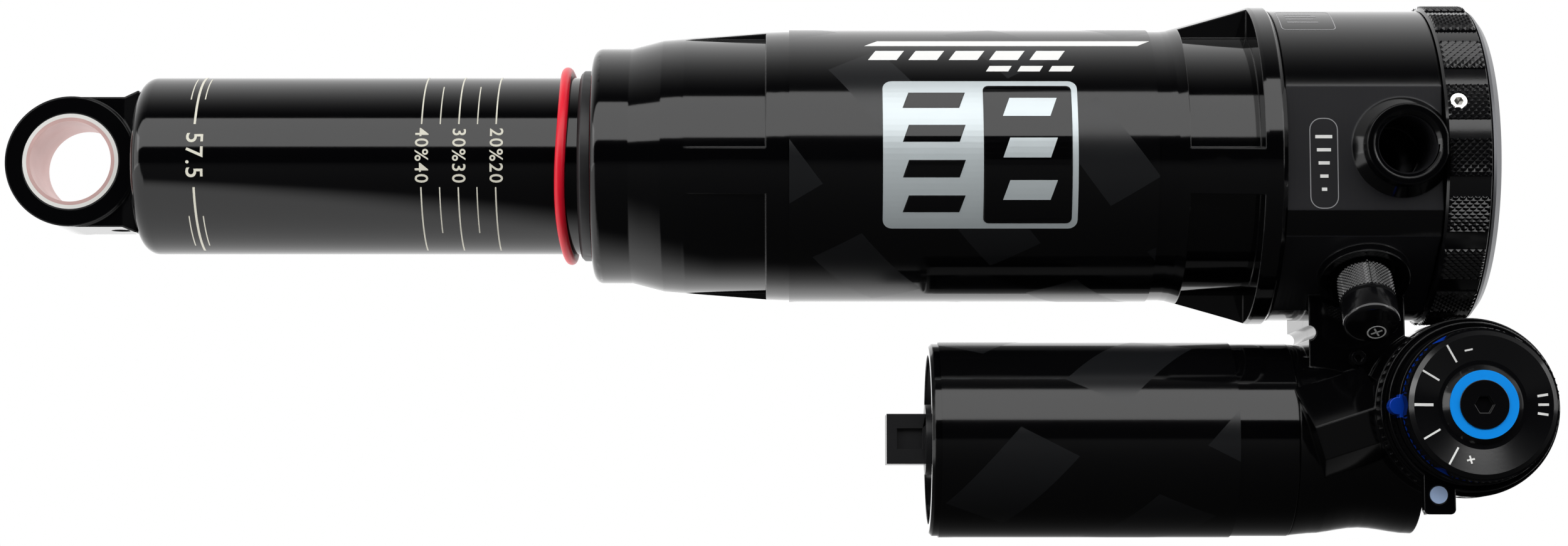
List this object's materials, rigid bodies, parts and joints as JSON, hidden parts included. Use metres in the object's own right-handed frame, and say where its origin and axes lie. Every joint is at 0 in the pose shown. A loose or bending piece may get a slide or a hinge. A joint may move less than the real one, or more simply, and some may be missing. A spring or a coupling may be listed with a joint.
{
  "type": "rear shock",
  "caption": "Trunnion-mount air rear shock: stepped air can over a sliding damper tube, forged head with parallel gas reservoir, compression dials and knurled rebound ring.",
  "frame": {"origin": "centre of the lower eyelet bore", "axes": "+X along the shock from the eyelet to the trunnion head, +Y along the eyelet bore away from the dials, +Z away from the reservoir"},
  "size_m": [0.238, 0.0599, 0.0839],
  "materials": {
    "black_anodised": "gloss black anodised",
    "black_forging": "black anodised, milled faces satin",
    "can_film": "clear film with tone-on-tone bands",
    "bushing_steel": "satin",
    "liner_bronze": "matte sintered",
    "steel_screw": "bright",
    "sag_red": "satin",
    "seal_rubber": "matte",
    "white_ptfe": "smooth",
    "guide_bronze": "matte",
    "bare_alloy": "turned",
    "shaft_chrome": "polished",
    "gold_anodised": "satin",
    "shim_steel": "polished spring steel",
    "spacer_green": "moulded",
    "knurl_black": "diamond knurled",
    "plate_grey": "satin bevel",
    "valve_brass": "turned",
    "black_plastic": "moulded",
    "blue_anodised": "satin",
    "bright_blue": "gloss",
    "pale_blue": "gloss"
  },
  "bodies": {
    "head": {"dust_wiper": "seal_rubber", "air_can": "black_anodised", "air_can_decal": "can_film", "neck_air_seal": "seal_rubber", "backup_ring": "white_ptfe", "neck_bushing": "guide_bronze", "top_out_bumper": "seal_rubber", "damper_shaft": "shaft_chrome", "main_piston": "gold_anodised", "main_piston_band": "guide_bronze", "compression_shims": "shim_steel", "rebound_shims": "shim_steel", "piston_nut": "steel_screw", "bottom_out_bumper": "seal_rubber", "volume_spacer": "spacer_green", "can_oring": "seal_rubber", "trunnion_head": "black_forging", "gallery_plug": "black_forging", "detent_balls": "steel_screw", "detent_springs": "steel_screw", "valve_stem": "valve_brass", "valve_core": "bare_alloy", "reservoir_tube": "black_anodised", "reservoir_decal": "can_film", "reservoir_orings": "seal_rubber", "reservoir_end_cap": "bare_alloy", "charge_valve": "valve_brass", "adjuster_housing": "black_anodised", "hsc_spring": "steel_screw", "base_valve_body": "gold_anodised", "base_valve_shims": "shim_steel"},
    "damper": {"lower_eyelet": "black_forging", "bushing_shell": "bushing_steel", "bushing_liner": "liner_bronze", "bleed_screw": "steel_screw", "damper_tube": "black_anodised", "air_piston": "bare_alloy", "air_piston_seal": "seal_rubber", "air_piston_band": "guide_bronze", "shaft_bushing": "guide_bronze", "shaft_oil_seal": "seal_rubber"},
    "sag_marker": {"sag_ring": "sag_red"},
    "rebound_knob": {"rebound_ring": "knurl_black", "ring_set_screw": "steel_screw", "ring_end_plate": "plate_grey"},
    "rebound_needle": {"rebound_rod": "bare_alloy"},
    "valve_cover": {"valve_cap": "black_plastic"},
    "valve_plunger": {"valve_pin": "valve_brass"},
    "gas_piston": {"floating_piston": "bare_alloy", "floating_piston_seal": "seal_rubber"},
    "charge_cover": {"charge_port_cap": "black_plastic"},
    "firm_lever": {"threshold_lever": "black_anodised", "lever_dot": "pale_blue"},
    "high_speed_knob": {"hsc_ring": "blue_anodised"},
    "high_speed_cup": {"hsc_preload_cup": "bare_alloy"},
    "low_speed_knob": {"lsc_dial": "knurl_black", "dial_ring": "bright_blue", "dial_screw": "black_anodised"},
    "low_speed_needle": {"lsc_needle": "bare_alloy"}
  },
  "joints": [
    {"name": "damper_slide", "type": "slide", "parent": "head", "child": "damper", "axis": [1, 0, 0], "range_m": [0, 0.0575], "stiffness_N_per_m": 1500, "springref_m": -0.03},
    {"name": "sag_ring_slide", "type": "slide", "parent": "damper", "child": "sag_marker", "axis": [1, 0, 0], "range_m": [-0.0575, 0]},
    {"name": "gas_piston_slide", "type": "slide", "parent": "head", "child": "gas_piston", "axis": [1, 0, 0], "range_m": [-0.0135, 0]},
    {"name": "rebound_turn", "type": "hinge", "parent": "head", "child": "rebound_knob", "pos_m": [0.215, 0, 0], "axis": [1, 0, 0], "range_deg": [-150, 150]},
    {"name": "rebound_needle_slide", "type": "slide", "parent": "head", "child": "rebound_needle", "axis": [1, 0, 0], "range_m": [-0.001, 0.001]},
    {"name": "valve_cap_turn", "type": "hinge", "parent": "head", "child": "valve_cover", "pos_m": [0.2004, -0.01505, -0.01997], "axis": [0, -0.6018, -0.7986], "range_deg": [0, 720]},
    {"name": "valve_pin_press", "type": "slide", "parent": "head", "child": "valve_plunger", "axis": [0, 0.6018, 0.7986], "range_m": [0, 0.001], "stiffness_N_per_m": 300, "springref_m": -0.001},
    {"name": "charge_cap_pull", "type": "slide", "parent": "head", "child": "charge_cover", "axis": [-1, 0, 0], "range_m": [0, 0.012]},
    {"name": "firm_lever_turn", "type": "hinge", "parent": "head", "child": "firm_lever", "pos_m": [0.2142, -0.025, -0.0393], "axis": [0, -1, 0], "range_deg": [0, 60]},
    {"name": "high_speed_turn", "type": "hinge", "parent": "head", "child": "high_speed_knob", "pos_m": [0.2142, -0.027, -0.0393], "axis": [0, -1, 0], "range_deg": [-59, 59]},
    {"name": "high_speed_cup_slide", "type": "slide", "parent": "head", "child": "high_speed_cup", "axis": [0, -1, 0], "range_m": [-0.0005, 0.0005]},
    {"name": "low_speed_turn", "type": "hinge", "parent": "head", "child": "low_speed_knob", "pos_m": [0.2142, -0.03, -0.0393], "axis": [0, -1, 0], "range_deg": [-59, 59]},
    {"name": "low_speed_needle_slide", "type": "slide", "parent": "head", "child": "low_speed_needle", "axis": [0, -1, 0], "range_m": [-0.0008, 0.0008]}
  ],
  "couplings": [
    {"joint": "sag_ring_slide", "follows": "damper_slide", "ratio": -1},
    {"joint": "gas_piston_slide", "follows": "damper_slide", "ratio": -0.23},
    {"joint": "rebound_needle_slide", "follows": "rebound_turn", "m_per_rad": 0.00035},
    {"joint": "high_speed_cup_slide", "follows": "high_speed_turn", "m_per_rad": 0.00045},
    {"joint": "low_speed_needle_slide", "follows": "low_speed_turn", "m_per_rad": 0.0007}
  ]
}
